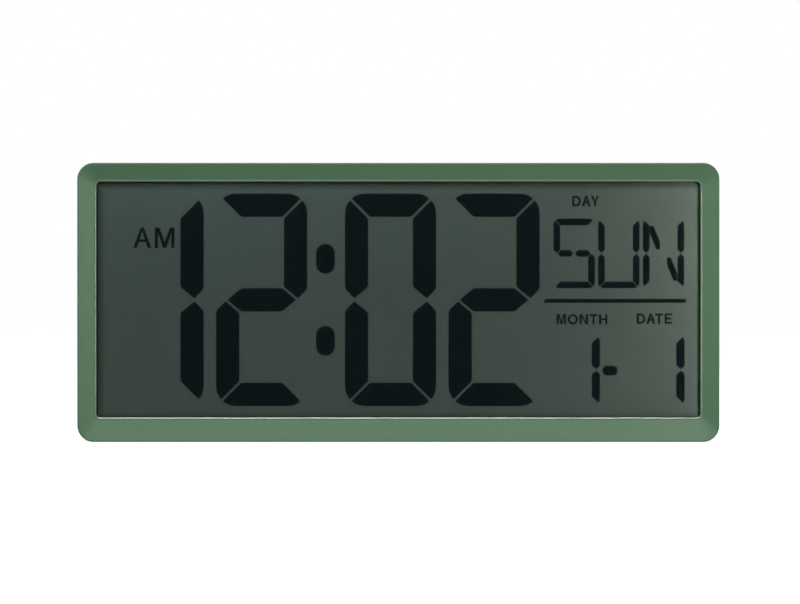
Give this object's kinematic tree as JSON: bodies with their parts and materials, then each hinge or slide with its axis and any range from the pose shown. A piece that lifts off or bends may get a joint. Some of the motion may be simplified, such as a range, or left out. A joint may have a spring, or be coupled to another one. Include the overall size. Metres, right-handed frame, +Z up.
{
  "type": "digital wall clock",
  "caption": "Wide wall clock with a dished bezel, a reflective LCD for time, weekday and date, a battery bay, setting keys and a fold-out stand.",
  "frame": {"origin": "under the middle of the case, at table height", "axes": "+X to the right seen from the front, +Y from the front face towards the wall, +Z up"},
  "size_m": [0.368, 0.03, 0.16],
  "materials": {
    "case_green": "satin moulded plastic",
    "foam": "foam",
    "clear_film": "satin film",
    "display_glass": "clear",
    "segment_ink": "dark",
    "reflector_film": "pearl",
    "inner_white": "plain",
    "steel": "bright",
    "rubber": "matt",
    "board_green": "lacquered",
    "resin": "gloss",
    "capacitor": "plain",
    "key_black": "satin",
    "cell_jacket": "printed jacket",
    "lead_red": "plain",
    "lead_black": "plain"
  },
  "bodies": {
    "case": {"front_bezel": "case_green", "rear_cover": "case_green", "bezel_gasket": "foam", "lcd_front_polariser": "clear_film", "lcd_front_glass": "display_glass", "lcd_segments": "segment_ink", "lcd_edge_seal": "reflector_film", "lcd_rear_glass": "display_glass", "lcd_reflector": "reflector_film", "lcd_holder": "inner_white", "holder_screws": "steel", "zebra_strip": "rubber", "circuit_board": "board_green", "board_screws": "steel", "clock_chip": "resin", "quartz_crystal": "steel", "chip_capacitors": "capacitor", "key_switches": "key_black", "battery_cells": "cell_jacket", "plus_contact": "steel", "minus_contact": "steel", "bridge_contact": "steel", "red_lead": "lead_red", "black_lead": "lead_black", "cover_screws": "steel"},
    "set_key": {"set_key": "key_black", "set_plunger": "inner_white"},
    "up_key": {"up_key": "key_black", "up_plunger": "inner_white"},
    "down_key": {"down_key": "key_black", "down_plunger": "inner_white"},
    "format_key": {"format_key": "key_black", "format_plunger": "inner_white"},
    "door": {"battery_door": "case_green"},
    "stand": {"table_stand": "case_green", "stand_pin": "steel"}
  },
  "joints": [
    {"name": "set_key_press", "type": "slide", "parent": "case", "child": "set_key", "axis": [0, -1, 0], "range_m": [0, 0.0005], "stiffness_N_per_m": 600},
    {"name": "up_key_press", "type": "slide", "parent": "case", "child": "up_key", "axis": [0, -1, 0], "range_m": [0, 0.0005], "stiffness_N_per_m": 600},
    {"name": "down_key_press", "type": "slide", "parent": "case", "child": "down_key", "axis": [0, -1, 0], "range_m": [0, 0.0005], "stiffness_N_per_m": 600},
    {"name": "format_key_press", "type": "slide", "parent": "case", "child": "format_key", "axis": [0, -1, 0], "range_m": [0, 0.0005], "stiffness_N_per_m": 600},
    {"name": "door_hinge", "type": "hinge", "parent": "case", "child": "door", "pos_m": [-0.1, 0.0136, 0.0955], "axis": [1, 0, 0], "range_deg": [0, 95]},
    {"name": "stand_hinge", "type": "hinge", "parent": "case", "child": "stand", "pos_m": [0, 0.0127, 0.0794], "axis": [1, 0, 0], "range_deg": [0, 24]}
  ]
}
